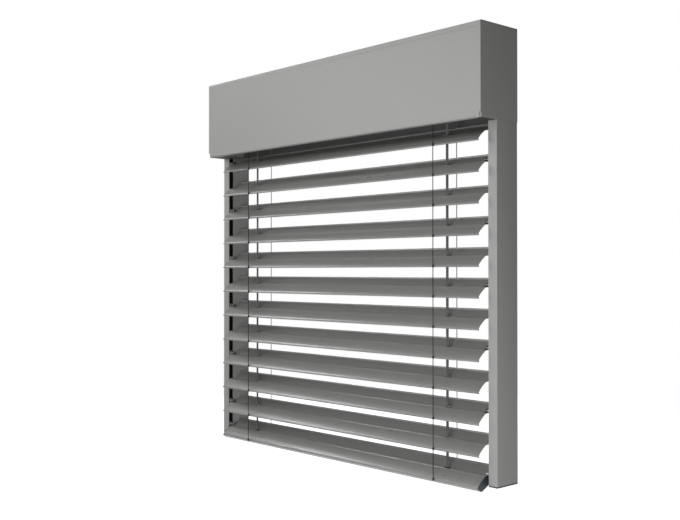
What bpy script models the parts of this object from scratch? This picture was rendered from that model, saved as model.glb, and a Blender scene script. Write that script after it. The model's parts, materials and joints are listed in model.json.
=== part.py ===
"""Motorised external venetian blind with a front-mounted hood, all sizes in metres.

X runs along the width, +Y points at the wall and +Z is up. The origin is the middle of
the hood's back face, which lies on the wall plane Y = 0.
"""

import math

import bmesh
import bpy

MM = 0.001
GAP = 0.3 * MM

# Overall
WIDTH = 1000 * MM
HEIGHT = 1000 * MM
HOOD_H = 207 * MM
HOOD_D = 127 * MM
SHEET = 2 * MM
TOP = HOOD_H / 2
FOOT = TOP - HEIGHT
HALF = WIDTH / 2

# Hood details
LIP_H = 12 * MM
FOLD_D = 12 * MM
FOLD_SHORT = 15 * MM
NOTCH = (5 * MM, 11 * MM)
CAP_FLANGE = 8 * MM

# Guide rails
RAIL_W = 24 * MM
RAIL_FRONT = 54 * MM - HOOD_D
RAIL_BACK = -1.5 * MM
RAIL_WALL = 2 * MM
CHANNEL_HALF = 6.6 * MM
CHANNEL_DEEP = 14 * MM
LINER = 0.8 * MM
FOOT_CAP_H = 3 * MM

# Slats: the pivot is the guide pin's axis
SLATS = 11
PIVOT_Y = 62.5 * MM - HOOD_D
PIVOT_1 = TOP - 221.4 * MM
PITCH = 68.42 * MM
SLAT_END = 468.5 * MM
PIN_R = 2.4 * MM
PIN_BORE_R = 2.8 * MM
BOSS_R = 4.3 * MM
BOSS_LEN = 8 * MM
SHOE_R = 5.2 * MM
SHOE_LEN = 9.5 * MM
END_CAP_T = 2.5 * MM

# Slat centre line from the front lip to the rear lip, as depth, height and thickness in mm
# from the pivot. The lips are rolled beads.
SLAT_LINE = (
    (-32.1, -29.5, 1.2),
    (-32.1, -28.6, 2.2),
    (-32.1, -26.2, 2.2),
    (-31.8, -25.0, 1.3),
    (-30.9, -23.9, 0.8),
    (-28.9, -21.7, 0.8),
    (-25.9, -18.6, 0.8),
    (-22.5, -15.6, 0.8),
    (-18.0, -12.0, 0.8),
    (-13.5, -8.7, 0.8),
    (-10.5, -6.7, 0.8),
    (-8.0, -5.4, 0.8),
    (-3.0, -4.5, 0.8),
    (4.0, -4.2, 0.8),
    (6.5, -2.8, 0.8),
    (16.0, 3.6, 0.8),
    (25.5, 10.0, 0.8),
    (26.1, 10.9, 1.3),
    (26.2, 12.0, 2.2),
    (26.2, 14.1, 2.2),
    (26.2, 15.0, 1.2),
)
# Underside of the bottom rail from rear to front, in the same way
BOTTOM_RAIL_UNDER = ((25.0, 6.0), (13.5, -18.5), (-22.0, -35.8), (-24.5, -35.4), (-31.6, -30.2))
BOTTOM_WALL = 1.6

# Tapes and ladder cords, as X of the left and the right set
TAPE_X = (-351.5 * MM, 351.5 * MM)
FRONT_CORD_X = (-348 * MM, 339 * MM)
REAR_CORD_X = (-326 * MM, 355 * MM)
TAPE_W = 8 * MM
TAPE_T = 0.4 * MM
CORD_R = 1.0 * MM
SLOT = (10 * MM, 13 * MM)
FRONT_CORD_Y = PIVOT_Y - 34.6 * MM
REAR_CORD_Y = PIVOT_Y + 28.7 * MM

# Head rail and drive
HEAD_W = 57 * MM
HEAD_Y = -58 * MM
HEAD_TOP = TOP - 5 * MM
HEAD_BOTTOM = TOP - 55 * MM
HEAD_HALF_LEN = 470 * MM
SHAFT_Y = -52.5 * MM
SHAFT_Z = TOP - 31 * MM
SHAFT_R = 5 * MM
SHAFT_END = 430 * MM
SPOOL_R = 12 * MM
FLANGE_R = 16 * MM
SPOOL_W = 11 * MM
DRUM_R = 14 * MM
DRUM_W = 9 * MM
HOUSING_HALF = 20 * MM
MOTOR_HALF_LEN = 150 * MM
MOTOR_HALF = 19.5 * MM
MOTOR_HEAD_T = 20 * MM
BRACKET_X = 250 * MM
BRACKET_W = 30 * MM

COLOURS = {
    "powder_grey": ((0.36, 0.36, 0.355), 0.45, 0.3),
    "slat_grey": ((0.34, 0.34, 0.335), 0.4, 0.35),
    "cap_plastic": ((0.05, 0.062, 0.075), 0.5, 0.0),
    "black_plastic": ((0.01, 0.01, 0.01), 0.5, 0.0),
    "white_plastic": ((0.55, 0.55, 0.52), 0.45, 0.0),
    "tape_fabric": ((0.06, 0.06, 0.062), 0.85, 0.0),
    "front_cord": ((0.015, 0.015, 0.016), 0.85, 0.0),
    "rear_cord": ((0.16, 0.16, 0.16), 0.85, 0.0),
    "zinc_steel": ((0.5, 0.5, 0.5), 0.35, 0.9),
    "motor_black": ((0.02, 0.02, 0.022), 0.4, 0.2),
}


def clear_scene():
    for obj in list(bpy.data.objects):
        bpy.data.objects.remove(obj, do_unlink=True)


def new_collection(name, hidden=False):
    collection = bpy.data.collections.new(name)
    collection.hide_render = hidden
    bpy.context.scene.collection.children.link(collection)
    return collection


def make_material(name):
    colour, roughness, metallic = COLOURS[name]
    material = bpy.data.materials.new(name)
    material.use_nodes = True
    shader = material.node_tree.nodes["Principled BSDF"]
    shader.inputs["Base Color"].default_value = (*colour, 1)
    shader.inputs["Roughness"].default_value = roughness
    shader.inputs["Metallic"].default_value = metallic
    material.diffuse_color = (*colour, 1)
    return material


def add_object(name, mesh, slot, origin=(0, 0, 0)):
    """A node of the blind, whose mesh is given about its origin."""
    obj = bpy.data.objects.new(name, mesh)
    obj.location = origin
    PARTS.objects.link(obj)
    if not mesh.materials:
        mesh.materials.append(MATERIALS[slot])
    mesh.shade_smooth()
    mesh.set_sharp_from_angle(angle=math.radians(35))
    return obj


def cut(obj, mesh, operation="DIFFERENCE", solver="EXACT"):
    """Cuts or adds a hidden helper, which sits where the object's origin is."""
    helper = bpy.data.objects.new(obj.name + "_helper", mesh)
    helper.location = obj.location
    helper.hide_render = True
    helper.display_type = "WIRE"
    CUTTERS.objects.link(helper)
    modifier = obj.modifiers.new(operation.title(), "BOOLEAN")
    modifier.object = helper
    modifier.operation = operation
    modifier.solver = solver


def mesh_of(bm):
    bmesh.ops.recalc_face_normals(bm, faces=bm.faces)
    mesh = bpy.data.meshes.new("shape")
    bm.to_mesh(mesh)
    bm.free()
    return mesh


def extrude(points, low, high, axis, loops=None):
    """A prism of one closed outline, or of several loops side by side."""
    bm = bmesh.new()
    for outline in loops or [points]:
        rings = []
        for level in (low, high):
            place = {
                "X": lambda a, b, level=level: (level, a, b),
                "Y": lambda a, b, level=level: (a, level, b),
                "Z": lambda a, b, level=level: (a, b, level),
            }[axis]
            rings.append([bm.verts.new(place(a, b)) for a, b in outline])
        bm.faces.new(rings[0])
        bm.faces.new(rings[1])
        count = len(outline)
        for i in range(count):
            j = (i + 1) % count
            bm.faces.new((rings[0][i], rings[0][j], rings[1][j], rings[1][i]))
    return mesh_of(bm)


def box(x, y, z):
    return extrude([(x[0], y[0]), (x[1], y[0]), (x[1], y[1]), (x[0], y[1])], z[0], z[1], "Z")


def boxes(ranges):
    bm = bmesh.new()
    for x, y, z in ranges:
        part = box(x, y, z)
        bm.from_mesh(part)
        bpy.data.meshes.remove(part)
    return mesh_of(bm)


def span(middle, width):
    return (middle - width / 2, middle + width / 2)


def circle(centre, radius, count):
    steps = [math.tau * i / count for i in range(count)]
    return [(centre[0] + radius * math.cos(a), centre[1] + radius * math.sin(a)) for a in steps]


def round_x(centre, radius, x, count=16):
    return extrude(circle(centre, radius, count), x[0], x[1], "X")


def turned_x(profile, count=24):
    """A closed ring about the X axis from its (x, radius) profile."""
    bm = bmesh.new()
    rings = []
    for i in range(count):
        a = math.tau * i / count
        rings.append([bm.verts.new((x, r * math.cos(a), r * math.sin(a))) for x, r in profile])
    for i in range(count):
        one, two = rings[i], rings[(i + 1) % count]
        for j in range(len(profile)):
            k = (j + 1) % len(profile)
            bm.faces.new((one[j], one[k], two[k], two[j]))
    return mesh_of(bm)


def tube(points, radius, count=8):
    """A cord of level rings through its points, from top to bottom."""
    bm = bmesh.new()
    rings = []
    for x, y, z in points:
        rings.append([bm.verts.new((a, b, z)) for a, b in circle((x, y), radius, count)])
    bm.faces.new(rings[0])
    bm.faces.new(rings[-1])
    for one, two in zip(rings, rings[1:]):
        for i in range(count):
            j = (i + 1) % count
            bm.faces.new((one[i], one[j], two[j], two[i]))
    return mesh_of(bm)


def line_sides(line):
    """The upper and the lower side of a centre line with its own thickness at each point, in mm."""
    upper, lower = [], []
    for i, (y, z, thickness) in enumerate(line):
        before = line[max(i - 1, 0)]
        after = line[min(i + 1, len(line) - 1)]
        run = math.hypot(after[0] - before[0], after[1] - before[1])
        side = ((before[1] - after[1]) / run, (after[0] - before[0]) / run)
        upper.append((y + side[0] * thickness / 2, z + side[1] * thickness / 2))
        lower.append((y - side[0] * thickness / 2, z - side[1] * thickness / 2))
    return upper, lower


def in_metres(points):
    return [(a * MM, b * MM) for a, b in points]


def inset(points, distance):
    """The outline moved inwards by a distance, for an outline that runs clockwise."""
    moved = []
    count = len(points)
    for i in range(count):
        before, here, after = points[i - 1], points[i], points[(i + 1) % count]
        sides = []
        for a, b in ((before, here), (here, after)):
            run = math.hypot(b[0] - a[0], b[1] - a[1])
            sides.append(((b[1] - a[1]) / run, (a[0] - b[0]) / run))
        scale = distance / (1 + sides[0][0] * sides[1][0] + sides[0][1] * sides[1][1])
        moved.append(
            (here[0] + (sides[0][0] + sides[1][0]) * scale, here[1] + (sides[0][1] + sides[1][1]) * scale)
        )
    return moved


def build_hood():
    front = -HOOD_D
    inner = TOP - SHEET
    top = add_object("hood_top_panel", box((-HALF, HALF), (front, 0), (inner, TOP)), "powder_grey")
    lip = box((-HALF, HALF), (front, front + SHEET), (TOP - LIP_H, inner + 0.5 * SHEET))
    cut(top, lip, "UNION")

    low, high = -HOOD_H / 2, TOP - LIP_H - GAP
    notch_x, notch_z = NOTCH
    outline = [
        (-HALF + notch_x, low),
        (HALF - notch_x, low),
        (HALF - notch_x, low + notch_z),
        (HALF, low + notch_z),
        (HALF, high),
        (-HALF, high),
        (-HALF, low + notch_z),
        (-HALF + notch_x, low + notch_z),
    ]
    cover = add_object("hood_front_cover", extrude(outline, front, front + SHEET, "Y"), "powder_grey")
    fold_x = HALF - FOLD_SHORT
    fold = box((-fold_x, fold_x), (front + SHEET / 2, front + FOLD_D), (low, low + SHEET))
    cut(cover, fold, "UNION")

    cap_z = (low, inner - GAP)
    cap_front = front + SHEET + GAP
    for side, name in ((-1, "left"), (1, "right")):
        x = sorted((side * HALF, side * (HALF - SHEET)))
        cap = add_object(f"hood_end_cap_{name}", box(x, (cap_front, 0), cap_z), "powder_grey")
        flange_x = sorted((side * (HALF - SHEET / 2), side * (HALF - CAP_FLANGE)))
        flange_z = (low + SHEET + 1 * MM, TOP - LIP_H - 3 * MM)
        cut(cap, box(flange_x, (cap_front, cap_front + SHEET), flange_z), "UNION")
    back_x = HALF - SHEET - GAP
    add_object("hood_back_panel", box((-back_x, back_x), (-SHEET, 0), cap_z), "powder_grey")


def build_head_rail():
    front, back = span(HEAD_Y, HEAD_W)
    outline = [
        (front, HEAD_TOP),
        (front, HEAD_BOTTOM),
        (back, HEAD_BOTTOM),
        (back, HEAD_TOP),
        (back - SHEET, HEAD_TOP),
        (back - SHEET, HEAD_BOTTOM + SHEET),
        (front + SHEET, HEAD_BOTTOM + SHEET),
        (front + SHEET, HEAD_TOP),
    ]
    rail = add_object(
        "head_rail", extrude(outline, -HEAD_HALF_LEN, HEAD_HALF_LEN, "X"), "zinc_steel"
    )
    depth = (HEAD_BOTTOM - SHEET, HEAD_BOTTOM + 2 * SHEET)
    cut(rail, boxes([(span(x, 14 * MM), span(PIVOT_Y, 10 * MM), depth) for x in TAPE_X]))

    back_leg = -SHEET - GAP
    under = HEAD_BOTTOM - GAP
    hook = front - GAP
    bracket = [
        (back_leg, TOP - 8 * MM),
        (back_leg, under - SHEET),
        (hook - SHEET, under - SHEET),
        (hook - SHEET, HEAD_BOTTOM + 10 * MM),
        (hook, HEAD_BOTTOM + 10 * MM),
        (hook, under),
        (back_leg - SHEET, under),
        (back_leg - SHEET, TOP - 8 * MM),
    ]
    for side, name in ((-1, "left"), (1, "right")):
        low, high = span(side * BRACKET_X, BRACKET_W)
        add_object(f"head_rail_bracket_{name}", extrude(bracket, low, high, "X"), "zinc_steel")


def build_drive():
    chamfer = 5 * MM
    square = []
    for a, b in ((1, 1), (-1, 1), (-1, -1), (1, -1)):
        corner = [(a * MOTOR_HALF, b * (MOTOR_HALF - chamfer)), (a * (MOTOR_HALF - chamfer), b * MOTOR_HALF)]
        square += corner if a * b > 0 else corner[::-1]
    axis = [(SHAFT_Y + a, SHAFT_Z + b) for a, b in square]
    add_object("motor_housing", extrude(axis, -MOTOR_HALF_LEN, MOTOR_HALF_LEN, "X"), "motor_black")
    socket = box((108 * MM, 132 * MM), span(SHAFT_Y, 16 * MM), (SHAFT_Z + MOTOR_HALF + GAP, TOP - 4 * MM))
    node = add_object("motor_socket", socket, "white_plastic")
    hole = (TOP - 8 * MM, TOP)
    cut(node, box((112 * MM, 128 * MM), span(SHAFT_Y, 9 * MM), hole))

    head = [(SHAFT_Y + a * 1.05, SHAFT_Z + b * 1.1) for a, b in square]
    for side, name in ((-1, "left"), (1, "right")):
        near = MOTOR_HALF_LEN + GAP
        x = sorted((side * near, side * (near + MOTOR_HEAD_T)))
        add_object(f"motor_head_{name}", extrude(head, x[0], x[1], "X"), "white_plastic")
        start = near + MOTOR_HEAD_T + GAP
        x = sorted((side * start, side * SHAFT_END))
        shaft = extrude(circle((0, 0), SHAFT_R, 6), x[0], x[1], "X")
        add_object(f"drive_shaft_{name}", shaft, "zinc_steel", (0, SHAFT_Y, SHAFT_Z))
    build_spools()


def build_spools():
    bore = SHAFT_R + GAP
    half = SPOOL_W / 2
    spool = [
        (-half, bore),
        (half, bore),
        (half, FLANGE_R),
        (half - 1 * MM, FLANGE_R),
        (half - 1 * MM, SPOOL_R),
        (1 * MM - half, SPOOL_R),
        (1 * MM - half, FLANGE_R),
        (-half, FLANGE_R),
    ]
    drum_half = DRUM_W / 2
    groove = 1.2 * MM
    drum = [
        (-drum_half, bore),
        (drum_half, bore),
        (drum_half, DRUM_R),
        (groove, DRUM_R),
        (0, DRUM_R - groove),
        (-groove, DRUM_R),
        (-drum_half, DRUM_R),
    ]
    bottom = HEAD_BOTTOM + SHEET + GAP
    back = HEAD_Y + HEAD_W / 2 - SHEET - GAP
    front = HEAD_Y - HEAD_W / 2 + SHEET + GAP
    for x, side, name in ((TAPE_X[0], -1, "left"), (TAPE_X[1], 1, "right")):
        axis = (SHAFT_Y, SHAFT_Z)
        add_object(f"tape_spool_{name}", turned_x(spool), "white_plastic", (x, *axis))
        middle = x - side * (half + drum_half + 1 * MM)
        add_object(f"tilt_drum_{name}", turned_x(drum), "black_plastic", (middle, *axis))
        block = box(span(x, 2 * HOUSING_HALF), (front, back), (bottom, SHAFT_Z + FLANGE_R))
        housing = add_object(f"spool_housing_{name}", block, "black_plastic")
        pocket = (bottom + 1.5 * MM, TOP)
        room = box(span(x, 2 * HOUSING_HALF - 4 * MM), (front + 2 * MM, back - 1 * MM), pocket)
        cut(housing, room)
        cut(housing, round_x(axis, SHAFT_R + 2 * MM, span(x, 3 * HOUSING_HALF)))
        cut(housing, box(span(x, 12 * MM), span(PIVOT_Y, 8 * MM), (HEAD_BOTTOM, pocket[0] + 1 * MM)))


def build_guide_rail(side, name):
    def across(distance):
        """X at a distance outwards from the rail's inner face."""
        return side * (HALF - RAIL_W + distance)

    low, high = FOOT + FOOT_CAP_H + GAP, -HOOD_H / 2 - GAP
    channel = span(PIVOT_Y, 2 * CHANNEL_HALF)
    outline = [
        (across(0), RAIL_FRONT),
        (across(RAIL_W), RAIL_FRONT),
        (across(RAIL_W), RAIL_BACK),
        (across(0), RAIL_BACK),
        (across(0), channel[1]),
        (across(CHANNEL_DEEP), channel[1]),
        (across(CHANNEL_DEEP), channel[0]),
        (across(0), channel[0]),
    ]
    rail = add_object(f"guide_rail_{name}", extrude(outline, low, high, "Z"), "powder_grey")
    chamber_x = sorted((across(RAIL_WALL), across(RAIL_W - RAIL_WALL)))
    chamber_y = (channel[1] + RAIL_WALL, RAIL_BACK - RAIL_WALL)
    cut(rail, box(chamber_x, chamber_y, (low - 5 * MM, high + 5 * MM)))

    outer = (channel[0] + GAP, channel[1] - GAP)
    inner = (outer[0] + LINER, outer[1] - LINER)
    deep = CHANNEL_DEEP - GAP
    liner = [
        (across(0.5 * MM), outer[0]),
        (across(deep), outer[0]),
        (across(deep), outer[1]),
        (across(0.5 * MM), outer[1]),
        (across(0.5 * MM), inner[1]),
        (across(deep - LINER), inner[1]),
        (across(deep - LINER), inner[0]),
        (across(0.5 * MM), inner[0]),
    ]
    add_object(f"channel_liner_{name}", extrude(liner, low, high, "Z"), "black_plastic")
    x = sorted((across(0), across(RAIL_W)))
    cap = box(x, (RAIL_FRONT, RAIL_BACK), (FOOT, FOOT + FOOT_CAP_H))
    add_object(f"rail_foot_cap_{name}", cap, "cap_plastic")


def shoe_mesh(side):
    """A guide pin about its own axis, with its head in the channel and its tip towards the slat."""
    tip = side * (SLAT_END - BOSS_LEN + 2.5 * MM)
    neck = side * (HALF - RAIL_W + 2 * MM)
    end = neck + side * SHOE_LEN
    bm = bmesh.new()
    rings = []
    for x, radius in ((tip, PIN_R), (neck, PIN_R), (neck, SHOE_R), (end, SHOE_R)):
        rings.append([bm.verts.new((x, a, b)) for a, b in circle((0, 0), radius, 16)])
    bm.faces.new(rings[0])
    bm.faces.new(rings[-1])
    for one, two in zip(rings, rings[1:]):
        for i in range(16):
            j = (i + 1) % 16
            bm.faces.new((one[i], one[j], two[j], two[i]))
    return mesh_of(bm)


def build_slats():
    upper, lower = line_sides(SLAT_LINE)
    outline = in_metres(upper + lower[::-1])
    slots = [(span(x, SLOT[0]), span(0, SLOT[1]), (-11 * MM, 3 * MM)) for x in TAPE_X]
    for number in range(1, SLATS + 1):
        side = -1 if number % 2 else 1
        origin = (0, PIVOT_Y, PIVOT_1 - (number - 1) * PITCH)
        slat = add_object(f"slat_{number:02d}", extrude(outline, -SLAT_END, SLAT_END, "X"), "slat_grey", origin)
        end = side * (SLAT_END - 0.2 * MM)
        boss_x = sorted((end, end - side * BOSS_LEN))
        cut(slat, round_x((0, 0), BOSS_R, boss_x, 12), "UNION")
        bore_x = sorted((end + side * 1 * MM, end - side * (BOSS_LEN - 1.5 * MM)))
        cut(slat, round_x((0, 0), PIN_BORE_R, bore_x, 12))
        cut(slat, boxes(slots))
        add_object(f"guide_shoe_{number:02d}", shoe_mesh(side), "white_plastic", origin)


def build_bottom_rail():
    upper, _ = line_sides(SLAT_LINE)
    under = list(BOTTOM_RAIL_UNDER)
    outline = upper + under
    body_end = SLAT_END - END_CAP_T - GAP
    origin = (0, PIVOT_Y, PIVOT_1 - SLATS * PITCH)
    rail = add_object(
        "bottom_rail", extrude(in_metres(outline), -body_end, body_end, "X"), "slat_grey", origin
    )
    core = upper[4:17] + under[:4]
    hollow = in_metres(inset(core, BOTTOM_WALL))
    cut(rail, extrude(hollow, -HALF, HALF, "X"))
    for side, name in ((-1, "left"), (1, "right")):
        x = sorted((side * (SLAT_END - END_CAP_T), side * SLAT_END))
        cap = add_object(
            f"bottom_rail_cap_{name}", extrude(in_metres(outline), x[0], x[1], "X"), "cap_plastic", origin
        )
        cut(cap, round_x((0, 0), BOSS_R + 1 * MM, x), "UNION")
        cut(cap, round_x((0, 0), PIN_BORE_R, (x[0] - 1 * MM, x[1] + 1 * MM)))
        shoe = shoe_mesh(side)
        add_object(f"bottom_shoe_{name}", shoe, "white_plastic", origin)


def build_cords():
    lowest = PIVOT_1 - SLATS * PITCH
    under_head = HEAD_BOTTOM - GAP
    for side, x in zip(("left", "right"), TAPE_X):
        tape = box(span(x, TAPE_W), span(PIVOT_Y, TAPE_T), (lowest - 3.4 * MM, SHAFT_Z - 3 * MM))
        add_object(f"lift_tape_{side}", tape, "tape_fabric")
    for name, places, y, top_y, lip in (
        ("front", FRONT_CORD_X, FRONT_CORD_Y, PIVOT_Y - 16 * MM, -27.4 * MM),
        ("rear", REAR_CORD_X, REAR_CORD_Y, PIVOT_Y + 24 * MM, 13 * MM),
    ):
        for side, x in zip(("left", "right"), places):
            route = [(x, top_y, under_head), (x, y, PIVOT_1 + lip + 8 * MM), (x, y, lowest + lip)]
            add_object(f"ladder_{name}_{side}", tube(route, CORD_R), f"{name}_cord")


clear_scene()
PARTS = new_collection("Venetian_Blind")
CUTTERS = new_collection("Cutters", hidden=True)
MATERIALS = {name: make_material(name) for name in COLOURS}
build_hood()
build_head_rail()
build_drive()
build_guide_rail(-1, "left")
build_guide_rail(1, "right")
build_slats()
build_bottom_rail()
build_cords()
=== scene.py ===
"""Looks of a motorised external venetian blind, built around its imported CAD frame.

X runs along the width, +Y points at the wall and +Z is up, in metres. Profiles in the YZ plane
are given in mm from a slat's pivot, which is the axis of its guide pin.
"""

import json
import math

import bmesh
import bpy
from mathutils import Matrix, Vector
from mathutils.geometry import tessellate_polygon


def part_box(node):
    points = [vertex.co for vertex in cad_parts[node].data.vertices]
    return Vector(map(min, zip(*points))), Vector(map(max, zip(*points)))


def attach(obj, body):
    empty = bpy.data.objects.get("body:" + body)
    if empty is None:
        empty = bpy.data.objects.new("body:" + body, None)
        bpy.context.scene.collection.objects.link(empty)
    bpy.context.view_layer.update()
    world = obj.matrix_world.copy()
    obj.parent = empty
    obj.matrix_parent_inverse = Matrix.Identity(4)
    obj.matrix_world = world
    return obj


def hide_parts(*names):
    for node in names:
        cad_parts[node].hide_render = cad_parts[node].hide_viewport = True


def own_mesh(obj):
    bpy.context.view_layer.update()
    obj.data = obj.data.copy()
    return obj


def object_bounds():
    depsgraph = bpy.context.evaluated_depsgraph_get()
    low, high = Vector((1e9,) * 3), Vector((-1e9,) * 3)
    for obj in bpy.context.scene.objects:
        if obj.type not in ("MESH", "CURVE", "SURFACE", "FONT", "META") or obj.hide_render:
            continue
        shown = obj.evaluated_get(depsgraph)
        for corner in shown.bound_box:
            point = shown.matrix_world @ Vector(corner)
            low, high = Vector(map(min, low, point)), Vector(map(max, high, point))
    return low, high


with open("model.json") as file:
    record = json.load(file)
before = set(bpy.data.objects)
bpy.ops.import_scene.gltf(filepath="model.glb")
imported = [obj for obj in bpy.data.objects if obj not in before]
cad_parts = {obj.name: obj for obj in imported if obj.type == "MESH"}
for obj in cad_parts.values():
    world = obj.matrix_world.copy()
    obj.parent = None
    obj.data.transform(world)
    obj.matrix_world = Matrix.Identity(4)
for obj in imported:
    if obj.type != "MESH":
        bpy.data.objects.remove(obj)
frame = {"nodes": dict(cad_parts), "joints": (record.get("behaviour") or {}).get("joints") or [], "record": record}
CAD_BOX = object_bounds()

MM = 0.001
SLATS = 11
NUMBERS = [f"{i:02d}" for i in range(1, SLATS + 1)]
JOINTS = {joint["name"]: joint for joint in frame["joints"]}

# The camera that gives the studio view, and its lens
CAMERA_PLACE = (1.80073, -1.71937, -0.43096)
CAMERA_TURN = (math.radians(90.684), 0.0, math.radians(47.558))
LENS_MM = 51.06
SENSOR_MM = 36.0

# Sheet and slat sizes, in mm
HOOD_SHEET, HOOD_BEND, SHEET_EDGE = 2.0, 2.6, 0.45
# The hood cover's lower fold stops this far from its ends, with a slit beside it and a notch at each corner
FOLD_STOP = 15.0
SLIT_WIDTH, SLIT_HEIGHT = 0.6, 5.0
NOTCH_WIDTH, NOTCH_HEIGHT = 5.0, 11.0
CAP_FLANGE = 8.0
# Guide rail: depth of its channel, its wall, and its rounded corners outside and in the chamber
CHANNEL_DEPTH, RAIL_WALL, RAIL_CORNER, CHAMBER_CORNER = 14.0, 2.0, 0.9, 1.2
# Liner in the channel: gap round it, how far it sits in, its wall, and the length and depth of its lips
LINER_GAP, LINER_INSET, LINER_WALL = 0.3, 0.5, 0.8
LINER_LIP, LINER_LIP_DEPTH = 0.9, 1.2
SLAT_SHEET = 0.8
# Thickness of the rolled edge at steps of its height, from the sheet to its round tip
BEAD = ((0.4, 2.0), (1.1, 2.8), (1.9, 3.1), (2.6, 2.9))
# Centre line of a slat between its two beads, from the front to the rear
SLAT_LINE = (
    (-32.1, -25.6),
    (-31.2, -24.2),
    (-28.9, -21.7),
    (-22.5, -15.6),
    (-13.5, -8.7),
    (-8.0, -5.4),
    (-3.0, -4.6),
    (4.0, -4.1),
    (6.5, -2.8),
    (16.0, 3.6),
    (25.0, 9.7),
    (26.2, 11.2),
)
LINE_STEPS = 4
# Underside of the bottom rail, from the rear to the front
BOTTOM_UNDER = ((25.0, 6.0), (13.5, -18.5), (-22.0, -35.8), (-24.5, -35.4), (-31.6, -30.2))
# Outline of the bottom rail's hollow
BOTTOM_HOLLOW = (
    (24.0, 7.4),
    (22.6, 6.0),
    (12.3, -17.4),
    (-21.6, -33.8),
    (-24.2, -33.2),
    (-27.6, -22.9),
    (-13.2, -10.6),
    (-7.6, -7.2),
    (4.2, -6.2),
    (6.4, -5.2),
)
# Hooked rear edge of the bottom rail, from its top to its underside
BOTTOM_HOOK = ((27.0, 15.6), (26.4, 15.8), (25.6, 13.0))
SLOT_LENGTH, SLOT_WIDTH = 10.0, 13.0
# Eyelet round a tape slot: where it and its opening start and end, half its width, its rim and thickness
EYELET_FRONT, EYELET_REAR = -7.0, 14.0
EYELET_OPEN = (-3.8, 5.8)
EYELET_HALF, EYELET_RIM, EYELET_THICK = 5.6, 1.0, 2.4
# Eye that holds a guide pin: its length, bore and outer radius, and the section of its plate
EYE_LENGTH, EYE_BORE, EYE_RADIUS, EYE_EDGE = 8.0, 2.9, 3.7, 0.4
EYE_PLATE = ((-7.5, -5.9), (5.0, -4.9), (5.0, -3.2), (-7.5, -3.9))
PIN_RADIUS, PIN_HEAD = 2.4, 9.5
# Place of a front cord clip and of a rear cord loop, and how far a clip reaches to each side of its place
CLIP_PLACE = (-33.4, -28.2)
CLIP_HALF, CLIP_DEPTH, CLIP_HEIGHT = 2.1, (-2.4, 1.9), (-1.9, 4.2)
LOOP_PLACE = (27.2, 13.2)
# Slot plate in the bottom rail that holds a lift tape's end
ANCHOR_HALF = (7.0, 4.0)
ANCHOR_SLOT = (4.6, 0.9)
ANCHOR_LEVELS = (-4.3, -2.8)
# Offset in depth of each row of ladder cords, and the height of the lip that it follows
LADDERS = {"front": (-34.6, -27.4), "rear": (28.7, 13.0)}
CORD_RADIUS = 1.0


# ---------------------------------------------------------------- materials


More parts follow.
